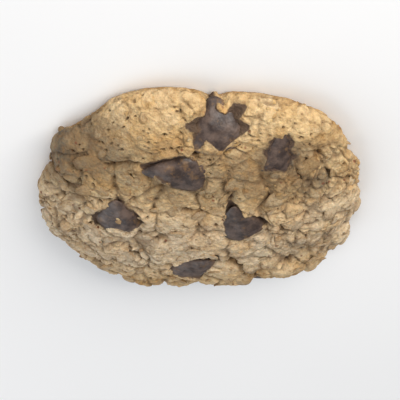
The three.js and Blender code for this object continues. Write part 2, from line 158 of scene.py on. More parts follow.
# The holes in the crust that the top chips show through: corners to the right (+X) and up (+Y) along the
# crust from the chip's middle.
HOLES = {
    "chip_top_rim": [
        (-0.8, 7.0), (0.2, 3.8), (2.0, 2.5), (4.2, 4.6), (6.4, 4.2), (4.6, 1.6), (6.6, -0.6), (4.6, -2.4),
        (2.6, -2.6), (0.8, -4.8), (-1.0, -3.0), (-2.6, -2.2), (-4.8, -4.6), (-4.8, -2.0), (-3.8, -1.0),
        (-6.4, 0.6), (-4.6, 2.0), (-2.6, 2.4), (-2.2, 4.6),
    ],
    "chip_top_upper": [
        (-7.3, 1.8), (-3.7, 3.7), (-1.5, 4.4), (1.4, 5.1), (4.9, 4.1), (5.9, 0.9), (7.0, -1.8), (5.4, -3.9),
        (2.7, -4.4), (0.3, -3.6), (-0.6, -0.8), (-2.2, -0.9), (-3.4, 0.3), (-5.4, 0.9),
    ],
    "chip_top_left": [
        (0.2, 6.8), (2.1, 3.3), (4.0, 0.5), (5.7, -2.2), (4.0, -3.5), (2.6, -5.0), (1.2, -3.6), (-2.4, -3.6),
        (-5.3, -5.2), (-5.6, -1.6), (-3.3, 1.3), (-1.1, 4.4),
    ],
    "chip_top_right": [
        (-2.0, 7.3), (-0.6, 4.9), (1.9, 2.8), (4.5, 1.1), (6.4, -0.6), (3.9, -2.8), (1.6, -4.4), (0.0, -6.8),
        (-1.9, -6.3), (-2.4, -2.2), (-2.6, 2.2), (-2.5, 5.4),
    ],
    "chip_top_lower": [
        (5.4, 6.4), (2.6, 5.6), (0.5, 4.4), (-2.4, 2.8), (-5.6, -0.4), (-4.6, -2.6), (-1.0, -2.8),
        (1.1, -3.4), (2.6, -0.2), (4.8, 2.8),
    ],
    "chip_top_far": [
        (-2.2, 3.4), (-1.0, 5.0), (0.6, 3.4), (2.2, 4.6), (3.4, 2.2), (2.0, 0.6), (3.0, -1.6), (1.6, -2.6),
        (0.8, -5.0), (-1.6, -3.4), (-3.6, -3.8), (-2.4, -1.0), (-3.2, 1.0),
    ],
}
HOLE_LOWEST = 2.2  # the rim chips' holes stop this far above the floor
HOLE_REACH = 4.5  # how far above or below a chip's seat its hole and its stain can reach
HOLE_ROUGHNESS = 0.5  # share of a socket's raggedness that these holes keep
HOLE_DEPTH, HOLE_SLOPE = 0.6, 1.2  # how deep the crust falls in a hole's corners, and over what width
PLAIN_HOLE_WIDTH = 0.95  # the other chips show through holes of their own shape, a little narrower
POINT_ROUGHNESS, POINT_WIDTHS = 0.25, (0.12, 0.42)  # they are less ragged where the chip is narrow

# Rolled oats that stand out of the crust.
FLAKES = 78
FLAKE_COVER = 0.8
FLAKE_TURN = 1.3
FLAKE_LENGTH = (5.2, 7.4)
FLAKE_SLIMNESS = 0.68
FLAKE_THICKNESS = 0.9
FLAKE_ROLL, FLAKE_PITCH = 0.3, 0.5
FLAKE_LIFT = -0.35
FLAKE_CLEARANCE = 2.2
FLAKE_LOWEST = 7
FLAKE_MOST_Y = 24
SMALL_FLAKES = 200
SMALL_FLAKE_TURN = 0.4
SMALL_FLAKE_LENGTH = (1.8, 4.2)
SMALL_FLAKE_THICKNESS = 0.6
SMALL_FLAKE_LIFT = -0.1
FLAKE_BROWNED, FLAKE_BROWN_FROM = 0.45, 0.75  # how brown a flake's edge is, and from where
FLAKE_FRAY, FLAKE_FRAY_FINENESS = 0.14, 2.2  # how uneven its outline is
FLAKE_BOW, FLAKE_BOW_LEVEL = 0.22, 0.3  # how far a flake curls, over its half length
FLAKE_FOLD, FLAKE_FOLD_WIDTH = 0.45, 0.3  # the fold along a flake, over its half thickness and half width

# Crumbs of dough bedded in the crust, most of them small.
CRUMBS = 650
CRUMB_COVER = 0.86
CRUMB_SIZE = (0.6, 2.4)
CRUMB_RARITY = 2.2
CRUMB_FLATNESS = 0.55
CRUMB_SINK = 0.3  # share of its height that a crumb's middle lies below the crust
CRUMB_SLIMNESS = (0.6, 1)
CRUMB_UNEVENNESS, CRUMB_FINENESS = 0.32, 1.3
CRUMB_TOAST = 0.7
CRUMBS_ON_CHIPS = 0.14  # share of the crumbs that stay where they fall on a chip
CALM_CRUMBS, CALM_CRUMBS_FROM = 0.25, 19  # share of crumbs and small flakes that the calm rim keeps
SMALL_PIECES_LOWEST, SMALL_PIECES_CLEARANCE = 1.5, 0.5
APART = np.array([3.7, 5.1, 2.3, 7.3])  # so that one noise gives each crumb and flake a shape of its own

# Painted shade: a darker, browner band across the top, in plan. Towards -X its upper edge climbs and its
# lower edge falls.
BAND_UPPER = (21, 31)
BAND_CLIMB = (0.4, 10, 25)  # slope, from how far out and over how far
BAND_LOWER, BAND_LOWER_STEP = (4, 9), (4, 16)  # in the middle and towards -X
BAND_LOWER_WIDTH = 12.5
BAND_FALL = (0.0175, 14, 24)  # bend, from how far out and over how far
BAND_MIDDLE_SHARE, BAND_FULL = 0.68, (12, 28)
BAND_END_LOSS, BAND_END = 0.7, (23, 34)
# Darker patches that join the painted shade band.
SHADE_PATCHES = [((18.4, 22.5), 6), ((27.5, 14), 3.5)]  # middle and radius
SHADE_PATCH_EDGE = (0.6, 1.4)
# Painted glare: a paler and greyer tint, by how far points are towards -Y and towards -X.
GLARE_STARTS = (-15, 3)
GLARE_LEAST, GLARE_FULL = 0.85, (-10, 20)
GLARE_RIM_LOSS, GLARE_RIM = 0.85, (14, 28)
# The orange tinge, by how far points are towards +Y.
ORANGE_STARTS, ORANGE_ENDS, ORANGE_LEAST = (10, 19), (25, 32), 0.3
# The orange tinge fades over oats and in the painted shade band.
ORANGE_LOSS = 0.7  # over oats and in the browner band
TINT_HEIGHTS = (0.5, 3)  # the first two tints set in between these heights

# Painted shade in the crust's crevices, hollows, pores and cracks, and its toasted rim and base.
CREVICE_ROUNDS, CREVICE_DEPTH, CREVICE_POWER = 30, 0.75, 1.5
HOLLOW_ROUNDS, HOLLOW_DEPTHS, HOLLOW_SHARE = 220, (0.1, 0.9), 0.75
PORE_PAINTED_SHADE, CRACK_PAINTED_SHADE, BASE_PAINTED_SHADE = 0.55, 0.5, 0.2
OAT_EDGE, OAT_FAINTEST = (0.05, 0.5), 0.25
TOAST_HEIGHT, TOAST_SHARE = 3.5, 0.6
BASE_HEIGHT = 1.2
BASE_SOCKET_SLOPE = 0.8

# Each kind of random draw has a number of its own.
DRAWS = {
    "swell": 3, "warp": 11, "ragged": 14, "clod": 21, "crumb": 31, "grain": 41, "grit": 51, "pore": 61,
    "pore_gate": 64, "crack": 71, "fissure": 81, "fissure_gate": 85, "socket": 91,
    "oat_turn": 101, "oat_across": 102, "oat_along": 103, "oat_length": 104, "oat_slimness": 105,
    "oat_height": 106, "oat_tilt": 107, "oat_tone": 108,
    "flake_length": 201, "flake_roll": 202, "flake_pitch": 203, "flake_turn": 204, "flake_tone": 205,
    "flake_edge": 206, "crumb_size": 301, "crumb_turn": 302, "crumb_tone": 303, "crumb_shape": 304,
    "dent": 401, "scoop": 405, "orange": 411,
}
# So has each family of scattered things.
BURIED, FLAKE, SMALL_FLAKE, CRUMB_SPOT, CRUMB, CRUMB_SHAPE, SMALL_FLAKE_FIT, CRUMB_FIT = range(8)
GOLDEN_ANGLE = math.pi * (3 - math.sqrt(5))


# ---------- Noise ----------


def scatter(cells, draw):
    """The same numbers from 0 to 1 each time for the same rows of three whole numbers."""
    i, j, k = (cells[..., axis].astype(np.uint32) for axis in range(3))
    with np.errstate(over="ignore"):
        h = i * np.uint32(374761393) ^ j * np.uint32(668265263) ^ k * np.uint32(3266489917)
        h ^= np.uint32(draw * 2246822519 & 0xFFFFFFFF)
        h = (h ^ (h >> np.uint32(15))) * np.uint32(2654435761)
        h = (h ^ (h >> np.uint32(13))) * np.uint32(3266489917)
        h ^= h >> np.uint32(16)
    return h / 4294967296.0


def draw_each(count, family, kind):
    """One number from 0 to 1, of a named kind of draw, for each of count things of a family."""
    cells = np.zeros((count, 3), np.int64)
    cells[:, 0] = np.arange(count)
    cells[:, 1] = family
    return scatter(cells, DRAWS[kind])


def noise(p, size, draw):
    """Smooth noise from -1 to 1 that changes over the given size."""
    q = p / size
    cell = np.floor(q).astype(np.int64)
    t = q - cell
    ease = t * t * (3 - 2 * t)
    total = 0
    for corner in np.ndindex(2, 2, 2):
        weight = np.prod(np.where(corner, ease, 1 - ease), axis=-1)
        total = total + weight * scatter(cell + np.array(corner), draw)
    return 2 * total - 1


def noise_vector(p, size, draw):
    return np.stack([noise(p, size, draw + axis) for axis in range(3)], -1)


def layers(p, sizes, draw):
    """Noise of several sizes, added up."""
    return sum(reach * noise(p, size, draw + k) for k, (size, reach) in enumerate(sizes))


def nearest_two(p, size, draw):
    """Squared distances to the nearest and second nearest of a cloud of points, over size squared."""
    q = p / size
    cell = np.floor(q).astype(np.int64)
    first = np.full(len(p), 9.0)
    second = np.full(len(p), 9.0)
    for step in np.ndindex(3, 3, 3):
        c = cell + np.array(step) - 1
        middle = c + np.stack([scatter(c, draw + axis) for axis in range(3)], -1)
        distance = ((q - middle) ** 2).sum(-1)
        second = np.minimum(second, np.maximum(first, distance))
        first = np.minimum(first, distance)
    return first, second


def lumps(p, size, draw):
    """Rounded lumps: 1 at the middle of each, falling to about 0 where they meet."""
    return 1 - np.minimum(1, nearest_two(p, size, draw)[0])


def patches(p, kind, draw):
    """How much of a soft patch is at each point, from 0 to 1."""
    size, low, high = kind
    return smoothstep(noise(p, size, DRAWS[draw]), low, high)


def smoothstep(x, low, high):
    t = np.clip((x - low) / (high - low), 0, 1)
    return t * t * (3 - 2 * t)


def lerp(a, b, t):
    return a + (b - a) * t


# ---------- The smooth cookie ----------


def outline(angle):
    """Radius of the plan outline at angles in radians."""
    radius = np.full_like(angle, RADIUS)
    for at, out, spread in OUTLINE_BULGES:
        turn = (np.degrees(angle) - at + 180) % 360 - 180
        radius = radius + out * np.exp(-((turn / spread) ** 2))
    return radius


def half_section():
    """Half of the section, from the middle of the top, round the rim, to the middle of the base."""
    step = np.arange(SECTION_STEPS + 1) / SECTION_STEPS
    reach = np.sin(step * math.pi / 2)
    dome = RIM_HEIGHT + (THICKNESS - RIM_HEIGHT) * (1 - reach**DOME_REACH_POWER) ** DOME_DROP_POWER
    turn = step[1:] * math.pi / 2
    under = RIM_HEIGHT * (1 - np.sin(turn))
    under[-1] = 0
    return (
        np.concatenate([reach, BASE_SHARE + (1 - BASE_SHARE) * np.cos(turn), BASE_SHARE * (1 - step[1:])]),
        np.concatenate([dome, under, 0 * under]),
    )


class Section:
    """The half section, with its outward normals and the share of the surface that lies before each point."""

    reach, height = half_section()
    drop = np.concatenate([[height[0] - height[1]], height[:-2] - height[2:], [height[-2] - height[-1]]])
    run = np.concatenate([[reach[1] - reach[0]], reach[2:] - reach[:-2], [reach[-1] - reach[-2]]]) * RADIUS
    out = drop / np.hypot(drop, run)
    up = run / np.hypot(drop, run)
    length = np.hypot(np.diff(reach) * RADIUS, np.diff(height))
    fineness = np.where(height[:-1] == 0, BASE_FINENESS, 1)
    share = np.concatenate([[0], np.cumsum(length * (reach[1:] + reach[:-1]) * fineness)])
    share = share / share[-1]


def unit(v):
    return v / np.linalg.norm(v, axis=-1, keepdims=True)


def smooth_spots(share, angle):
    """Points of the smooth cookie and their outward normals, from shares of the surface and angles."""
    radius = np.interp(share, Section.share, Section.reach) * outline(angle)
    out = np.interp(share, Section.share, Section.out)
    up = np.interp(share, Section.share, Section.up)
    cos, sin = np.cos(angle), np.sin(angle)
    height = np.interp(share, Section.share, Section.height)
    return np.stack([radius * cos, radius * sin, height], -1), unit(np.stack([out * cos, out * sin, up], -1))


def spiral_spots(count, cover, turn):
    """Spots spread evenly along a spiral over the first part of the surface."""
    k = np.arange(count)
    return smooth_spots(cover * (k + 0.5) / count, k * GOLDEN_ANGLE + turn)


def surface_frames(normal, turn):
    """For each normal, a frame that lies flat on the surface: rows x along turn, y to its left and z out."""
    side = np.where(np.abs(normal[:, 2:]) > 0.8, [[0.0, 1.0, 0.0]], [[0.0, 0.0, 1.0]])
    across = unit(np.cross(side, normal))
    along = np.cross(normal, across)
    x = across * np.cos(turn)[:, None] + along * np.sin(turn)[:, None]
    return np.stack([x, np.cross(normal, x), normal], axis=1)


# ---------- Chips, cracks and relief ----------


def distance_to_line(xy, line):
    nearest = np.full(len(xy), np.inf)
    for a, b in zip(np.array(line[:-1], float), np.array(line[1:], float)):
        t = np.clip((xy - a) @ (b - a) / ((b - a) @ (b - a)), 0, 1)
        nearest = np.minimum(nearest, np.linalg.norm(xy - a - t[:, None] * (b - a), axis=1))
    return nearest


def outside(xy, corners):
    """How far points are outside a closed shape with these corners, or below 0 inside it."""
    distance = distance_to_line(xy, corners + corners[:1])
    inside = np.zeros(len(xy), bool)
    for (ax, ay), (bx, by) in zip(corners, corners[1:] + corners[:1]):
        between = (ay > xy[:, 1]) != (by > xy[:, 1])
        inside ^= between & (xy[:, 0] < ax + (xy[:, 1] - ay) * (bx - ax) / (by - ay + 1e-9))
    return np.where(inside, -distance, distance)


def chip_unevenness(p):
    """How far a chip's surface stands out of a smooth teardrop."""
    scoops = CHIP_SCOOPS[1] * (LUMP_MEAN - lumps(p, CHIP_SCOOPS[0], DRAWS["scoop"]))
    return layers(p, CHIP_DENTS, DRAWS["dent"]) + scoops


class Seat:
    """Where a chip sits."""

    def __init__(self, name, side, a, b, tip, pitch, length, width, sink):
        self.name, self.side, self.length, self.width, self.sink = name, side, length, width, sink
        self.pitch = math.radians(pitch)
        if side == "base":
            self.point, self.normal = np.array([a, b, 0.0]), np.array([0.0, 0.0, -1.0])
            tip = 180 - tip
        elif side == "rim":
            past = (Section.reach > 0.5) & (Section.height <= b)
            self.point, self.normal = self.spot(Section.share[past][0], math.radians(a))
        else:
            angle = math.atan2(b, a)
            past = Section.reach >= math.hypot(a, b) / outline(np.array([angle]))[0]
            self.point, self.normal = self.spot(Section.share[past][0], angle)
        self.axes = surface_frames(self.normal[None], np.radians([tip]))[0]
        self.level_axes = surface_frames(self.normal[None], np.zeros(1))[0]

    @staticmethod
    def spot(share, angle):
        point, normal = smooth_spots(np.array([share]), np.array([angle]))
        return point[0], normal[0]

    def local(self, p):
        return (p - self.point) @ self.axes.T

    def clear(self, p):
        """How far points are outside the oval round the chip, or below 0 inside it."""
        x, y, z = self.local(p).T
        clear = (np.hypot(x / self.length, y / self.width) * 2 - 1) * self.width / 2
        return np.where(np.abs(z) > self.width, np.inf, clear)

    def droop(self, x):
        """How far the softened chip has sunk towards its point."""
        return CHIP_DROOP.get(self.name, 0) * np.maximum(x, 0) ** 2

    def half_width(self, x):
        return np.interp(x / self.length, CHIP_ALONG, CHIP_OUT) * self.width / 2

    def opening(self, p, rough):
        """How far points are outside the hole in the crust that the chip shows through, or below 0 inside."""
        x, y, z = self.local(p).T
        if self.name in HOLES:
            right, up, _ = ((p - self.point) @ self.level_axes.T).T
            edge = outside(np.stack([right, up], -1), HOLES[self.name]) + HOLE_ROUGHNESS * rough
        else:
            along = np.clip(x, -self.length / 2, self.length / 2)
            half_width = self.half_width(along)
            beside = np.abs(y) - PLAIN_HOLE_WIDTH * half_width
            edge = np.hypot(x - along, np.maximum(beside, 0)) + np.minimum(beside, 0)
            edge = edge + rough * lerp(POINT_ROUGHNESS, 1, smoothstep(half_width / self.width, *POINT_WIDTHS))
        if self.side == "rim":
            edge = np.maximum(edge, HOLE_LOWEST - p[:, 2])
        return np.where(np.abs(z) > HOLE_REACH, np.inf, edge)

    def top(self, p):
        """Height over the smooth crust of the chip's upper side, falling away at its point."""
        x, y, z = self.local(p).T
        room = self.half_width(x) ** 2 - y**2
        over = (room > 0) & (np.abs(z) < HOLE_REACH)
        middle = x[over] * math.sin(self.pitch) - self.sink - self.droop(x[over])
        thinning = COVER_THINNING * np.maximum(x[over] - COVER_POINT * self.length, 0)
        lift = middle + CHIP_THICKNESS * np.sqrt(room[over]) - z[over] - thinning
        top = np.full(len(p), -np.inf)
        top[over] = lift + chip_unevenness(p[over] + self.normal * lift[:, None])
        return top


SEATS = [Seat(name, *place) for name, place in CHIPS.items()]


def clear_of_chips(p):
    return np.min([seat.clear(p) for seat in SEATS], axis=0)


def opening_of_chips(p):
    rough = layers(p, SOCKET_RAGGED, DRAWS["socket"])
    return np.min([seat.opening(p, rough) for seat in SEATS], axis=0)


def top_of_chips(p):
    return np.max([seat.top(p) for seat in SEATS], axis=0)


def buried_oats(p):
    """Height of the oats under the skin, how far inside one each point is, its tone and its fold."""
    point, normal = spiral_spots(BURIED_OATS, BURIED_COVER, 0)
    draws = {kind: draw_each(BURIED_OATS, BURIED, "oat_" + kind) for kind in
             ("turn", "across", "along", "length", "slimness", "height", "tilt", "tone")}
    axes = surface_frames(normal, 2 * math.pi * draws["turn"])
    half_length = lerp(*BURIED_HALF_LENGTH, draws["length"])
    half_width = half_length * lerp(*BURIED_SLIMNESS, draws["slimness"])
    tallness = lerp(*BURIED_TALLNESS, draws["height"] ** BURIED_RARITY)
    tilt = BURIED_TILT * (2 * draws["tilt"] - 1)
    middle = (
        point
        + axes[:, 0] * (BURIED_STRAY * (2 * draws["across"] - 1))[:, None]
        + axes[:, 1] * (BURIED_STRAY * (2 * draws["along"] - 1))[:, None]
    )
    highest = np.full(len(p), BURIED_FLOOR)
    inside = np.zeros(len(p))
    tone = np.zeros(len(p))
    crease = np.zeros(len(p))
    for k in range(BURIED_OATS):
        near = np.flatnonzero(np.abs(p - middle[k]).max(1) < BURIED_HALF_LENGTH[1] + 1)
        x, y, z = ((p[near] - middle[k]) @ axes[k].T).T
        reach = (x / half_length[k]) ** 2 + (y / half_width[k]) ** 2
        rise = np.clip(1 - reach**BURIED_SHARPNESS, 0, 1) ** BURIED_ROUNDNESS
        height = tallness[k] * rise + tilt[k] * x
        top = (reach < 1) & (np.abs(z) <= BURIED_REACH) & (height > highest[near])
        at = near[top]
        highest[at] = height[top]
        inside[at] = 1 - reach[top]
        tone[at] = draws["tone"][k]
        ends = np.clip(1 - reach[top] * BURIED_CREASE_END, 0, 1)
        crease[at] = np.exp(-((y[top] / BURIED_CREASE[0]) ** 2)) * ends
    return highest, inside, tone, crease


def crack_depth(p):
    waver = [noise(p, CRACK_WAVER_SIZE, DRAWS["crack"] + axis) for axis in range(2)]
    xy = p[:, :2] + CRACK_WAVER_REACH * np.stack(waver, -1)
    depth = np.zeros(len(p))
    for line, half_width, deepest in CRACKS:
        opening = np.clip(1 - (distance_to_line(xy, line) / half_width) ** 2, 0, 1)
        depth = np.maximum(depth, deepest * opening**1.5)
    return depth * np.clip((p[:, 2] - CRACK_FLOOR) / CRACK_FLOOR, 0, 1)


def smooth_clod(p):
    """How much of the smooth clod is at each point, from 0 to 1."""
    distance = np.linalg.norm((p[:, :2] - SMOOTH_CLOD_AT) / SMOOTH_CLOD_REACH, axis=1)
    return (1 - smoothstep(distance, *SMOOTH_CLOD_EDGE)) * (p[:, 2] > CRACK_FLOOR)


def pores_at(p, ragged):
    """How much of a pore is at each point, and how deep it is there."""
    open_share = patches(p, PORE_PATCHES, "pore_gate")
    pores, pore_depth = 0, 0
    for spacing, radius, depth in PORES:
        to_pore = np.sqrt(1 - lumps(p + PORE_RAGGED * ragged, spacing, DRAWS["pore"]))
        pore = 1 - smoothstep(to_pore, PORE_FLOOR * radius * open_share, radius * open_share + 1e-6)
        pores = np.maximum(pores, pore)
        pore_depth = np.maximum(pore_depth, depth * pore)
    return pores, pore_depth


def crust(p):
    """The crust's relief over points of the smooth cookie, and what its colours need."""
    warp = WARP_REACH * noise_vector(p, WARP_SIZE, DRAWS["warp"])
    ragged = RAGGED_REACH * noise_vector(p, RAGGED_SIZE, DRAWS["ragged"])
    oats, oat_inside, oat_tone, oat_crease = buried_oats(p + ragged)
    clod, next_clod = nearest_two(p + warp, CLOD[0], DRAWS["clod"])
    crumbly = lumps(p + (1 + WARP_CRUMB_SHARE) * warp, CRUMB_LUMP[0], DRAWS["crumb"])
    lumpy = (
        SWELL[1] * noise(p, SWELL[0], DRAWS["swell"])
        + CLOD[1] * (1 - np.minimum(1, clod) - LUMP_MEAN)
        + CRUMB_LUMP[1] * (crumbly - LUMP_MEAN)
        + BURIED_HEIGHT * oats
    )
    smooth = smooth_clod(p)
    calm = (1 - CALM_SHARE * smoothstep(p[:, 1], CALM_FROM, CALM_TO)) * (1 - SMOOTH_CLOD_SHARE * smooth)
    first, second = nearest_two(p + warp + ragged, FISSURE_SIZE, DRAWS["fissure"])
    fissures = 1 - smoothstep(np.sqrt(second) - np.sqrt(first), 0, FISSURE_WIDTH)
    fissures = fissures * patches(p, FISSURE_PATCHES, "fissure_gate")
    apart = np.sqrt(next_clod) - np.sqrt(clod) + GAP_RAGGED * ragged[:, 0]
    gaps = 1 - smoothstep(apart, 0, GAP_WIDTH)
    pores, pore_depth = pores_at(p, ragged)
    grains = (
        GRAIN[1] * (lumps(p + WARP_GRAIN_SHARE * warp, GRAIN[0], DRAWS["grain"]) - LUMP_MEAN)
        + GRIT[1] * (lumps(p, GRIT[0], DRAWS["grit"]) - LUMP_MEAN)
    )
    height = (
        calm * lumpy
        + SMOOTH_CLOD_RISE * smooth
        + grains
        - BURIED_CREASE[1] * oat_crease
        - crack_depth(p)
        - calm * GAP_DEPTH * gaps
        - FISSURE_DEPTH * fissures
        - pore_depth
    )
    opening = opening_of_chips(p)
    lip = LIP_HEIGHT * np.exp(-((opening - LIP_AWAY) / LIP_WIDTH) ** 2)
    socket = SOCKET_LEVEL - HOLE_DEPTH * smoothstep(-opening, 0, HOLE_SLOPE)
    height = lerp(socket, height, smoothstep(opening, 0, SOCKET_BLEND)) + lip
    cover = np.minimum(top_of_chips(p) + COVER_THICKNESS + grains, COVER_MOST)
    covered = lerp(height, np.maximum(height, cover), smoothstep(opening, COVER_FROM, COVER_TO))
    return {
        "height": np.where(np.isfinite(cover), covered, height),
        "oat": smoothstep(oat_inside, *OAT_EDGE) * lerp(OAT_FAINTEST, 1, oat_tone),
        "opening": opening,
        "cocoa": 1 - smoothstep(opening, SMUDGE_FROM, SMUDGE_TO),
        # Painted shade in pores, fissures and the gaps between lumps.
        "recess_shade": np.maximum(PORE_PAINTED_SHADE * pores, CRACK_PAINTED_SHADE * np.maximum(fissures, calm * gaps)),
    }


def shade_band_share(p):
    """How much painted shade points have: a darker, browner look, most in a band across the top, inside the
    +Y rim.
    """
    x, y, z = p.T
    slope, climb_from, climb_over = BAND_CLIMB
    climb = slope * np.clip(-x - climb_from, 0, climb_over)
    bend, fall_from, fall_over = BAND_FALL
    fall = bend * np.clip(-x - fall_from, 0, fall_over) ** 2
    low = lerp(*BAND_LOWER, smoothstep(-x, *BAND_LOWER_STEP))
    band = (1 - smoothstep(y - climb, *BAND_UPPER)) * smoothstep(y + fall, low, low + BAND_LOWER_WIDTH)
    to_left = lerp(BAND_MIDDLE_SHARE, 1, smoothstep(-x, *BAND_FULL))
    to_right = 1 - BAND_END_LOSS * smoothstep(x, *BAND_END)
    share = band * (to_left * to_right)
    for middle, radius in SHADE_PATCHES:
        away = np.linalg.norm(p[:, :2] - middle, axis=1) / radius
        share = np.maximum(share, 1 - smoothstep(away, *SHADE_PATCH_EDGE))
    return share * smoothstep(z, *TINT_HEIGHTS)


def glare_share(p):
    """How much painted glare the crust has: paler and greyer, most on the -Y half of the top, and towards -X.
    """
    x, y, z = p.T
    share = smoothstep(-y, *GLARE_STARTS) * lerp(GLARE_LEAST, 1, smoothstep(-x, *GLARE_FULL))
    return share * (1 - GLARE_RIM_LOSS * smoothstep(-y, *GLARE_RIM)) * smoothstep(z, *TINT_HEIGHTS)


def orange_share(p):
    """How much of an orange tinge the crust has: most where the rim turns into the top."""
    band = smoothstep(p[:, 1], *ORANGE_STARTS) * (1 - smoothstep(p[:, 1], *ORANGE_ENDS))
    return patches(p, ORANGE_PATCHES, "orange") * lerp(ORANGE_LEAST, 1, band)


def spots_on_crust(point, normal, lift):
    """Spots moved out to the crust, or to a chip that stands over it, and a little further."""
    fade = np.clip(point[:, 2] / RELIEF_FADE, 0, 1)
    height = np.maximum(crust(point)["height"], np.minimum(top_of_chips(point), COVER_MOST))
    return point + normal * (height * fade + lift)[:, None]


# ---------- Mesh helpers ----------


def new_piece(name, bm, material):
    """A mesh object from a bmesh that is already in place, in the frame's metres."""
    mesh = bpy.data.meshes.new(name)
    bm.to_mesh(mesh)
    bm.free()
    mesh.shade_smooth()
    mesh.materials.append(material)
    piece = bpy.data.objects.new(name, mesh)
    bpy.context.scene.collection.objects.link(piece)
    return piece


def many_balls(name, count, around, rows, material):
    """A mesh of many small balls of radius 1, and for each vertex the ball that it belongs to."""
    bm = bmesh.new()
    owner = bm.verts.layers.int.new("owner")
    bmesh.ops.create_uvsphere(bm, u_segments=around, v_segments=rows, radius=1)
    first = bm.verts[:] + bm.edges[:] + bm.faces[:]
    for k in range(1, count):
        for part in bmesh.ops.duplicate(bm, geom=first)["geom"]:
            if isinstance(part, bmesh.types.BMVert):
                part[owner] = k
    piece = new_piece(name, bm, material)
    owners = np.empty(len(piece.data.vertices), np.int32)
    piece.data.attributes["owner"].data.foreach_get("value", owners)
    return piece, owners


def turned(p, axis, angle):
    """Rows of points turned about the x axis (0) or the y axis (1), each by its own angle."""
    cos, sin = np.cos(angle), np.sin(angle)
    x, y, z = p.T
    if axis == 0:
        return np.stack([x, cos * y - sin * z, sin * y + cos * z], -1)
    return np.stack([cos * x + sin * z, y, cos * z - sin * x], -1)


def places(mesh):
    co = np.empty(len(mesh.vertices) * 3)
    mesh.vertices.foreach_get("co", co)
    return co.reshape(-1, 3)


def set_places(mesh, co):
    mesh.vertices.foreach_set("co", co.astype(np.float32).ravel())
    mesh.update()


def set_attributes(mesh, **attributes):
    """Named numbers on a mesh's vertices, for its material."""
    for name, values in attributes.items():
        attribute = mesh.attributes.new(name, "FLOAT", "POINT")
        attribute.data.foreach_set("value", values.astype(np.float32))


def blurred(mesh, values, rounds):
    """Values on a mesh's vertices, averaged with their neighbours' a number of times."""
    ends = np.empty(len(mesh.edges) * 2, np.int32)
    mesh.edges.foreach_get("vertices", ends)
    a, b = ends[0::2], ends[1::2]
    count = len(values)
    degree = np.bincount(a, minlength=count) + np.bincount(b, minlength=count)
    for _ in range(rounds):
        around = np.bincount(a, values[b], count) + np.bincount(b, values[a], count)
        values = (values + around / degree) / 2
    return values


def in_frame(p):
    """Points in millimetres about the plan's own middle, moved to the frame and to metres."""
    return (p + PLAN_SHIFT) * MM


# ---------- Materials ----------


class Shades:
    """A node material, and short ways to add to it. Sizes are in metres."""

    def __init__(self, name):
        self.material = bpy.data.materials.new(name)
        self.material.use_nodes = True
        self.tree = self.material.node_tree
        self.shader = self.tree.nodes["Principled BSDF"]
        self.place = self.tree.nodes.new("ShaderNodeTexCoord").outputs["Object"]

    def node(self, kind, inputs, **settings):
        made = self.tree.nodes.new(kind)
        for key, value in settings.items():
            setattr(made, key, value)
        for key, value in inputs.items():
            if isinstance(value, bpy.types.NodeSocket):
                self.tree.links.new(value, made.inputs[key])
            else:
                made.inputs[key].default_value = value
        return made

    def noise(self, size, detail=2.0, roughness=0.5):
        inputs = {"Vector": self.place, "Scale": 1 / size, "Detail": detail, "Roughness": roughness}
        return self.node("ShaderNodeTexNoise", inputs).outputs["Fac"]

    def cells(self, size):
        inputs = {"Vector": self.place, "Scale": 1 / size}
        return self.node("ShaderNodeTexVoronoi", inputs).outputs["Distance"]

    def attribute(self, name):
        return self.node("ShaderNodeAttribute", {}, attribute_name=name).outputs["Fac"]

    def spread(self, value, low, high, to_low=0.0, to_high=1.0):
        inputs = {"Value": value, "From Min": low, "From Max": high, "To Min": to_low, "To Max": to_high}
        return self.node("ShaderNodeMapRange", inputs, clamp=True).outputs["Result"]

    def times(self, a, b):
        return self.node("ShaderNodeMath", {0: a, 1: b}, operation="MULTIPLY").outputs[0]

    def plus(self, a, b):
        return self.node("ShaderNodeMath", {0: a, 1: b}, operation="ADD").outputs[0]

    def mix(self, share, a, b):
        """Colour a, turned into colour b by a share. The numbers are the colour sockets of the node."""
        return self.node("ShaderNodeMix", {0: share, 6: a, 7: b}, data_type="RGBA").outputs[2]

    def finish(self, colour, roughness, relief=None, depth=0.0, strength=1.0, **sockets):
        self.tree.links.new(colour, self.shader.inputs["Base Color"])
        self.tree.links.new(roughness, self.shader.inputs["Roughness"])
        if relief is not None:
            bump = self.node("ShaderNodeBump", {"Height": relief, "Distance": depth, "Strength": strength})
            self.tree.links.new(bump.outputs["Normal"], self.shader.inputs["Normal"])
        for key, value in sockets.items():
            self.shader.inputs[key.replace("_", " ")].default_value = value
        return self.material


DOUGH_PALE = (0.70, 0.50, 0.25, 1)
DOUGH_GOLD = (0.52, 0.31, 0.11, 1)
DOUGH_SHADE_OLIVE = (0.105, 0.080, 0.050, 1)
DOUGH_GLARE = (0.66, 0.56, 0.42, 1)
DOUGH_ORANGE = (0.57, 0.31, 0.10, 1)
DOUGH_TOAST_AND_SHADE = (0.24, 0.125, 0.042, 1)
DOUGH_DEEP_SHADE = (0.06, 0.026, 0.009, 1)
OAT_PALE = (0.65, 0.48, 0.27, 1)
OAT_TAN = (0.44, 0.29, 0.14, 1)
BRAN = (0.20, 0.075, 0.03, 1)
COCOA = (0.06, 0.032, 0.020, 1)
CHOCOLATE_DARK = (0.030, 0.017, 0.013, 1)
CHOCOLATE_BLOOM_AND_SHEEN = (0.13, 0.086, 0.066, 1)
FLOOR_GREY = (0.91, 0.91, 0.91, 1)
FLOOR_WHITE = (0.93, 0.93, 0.93, 1)


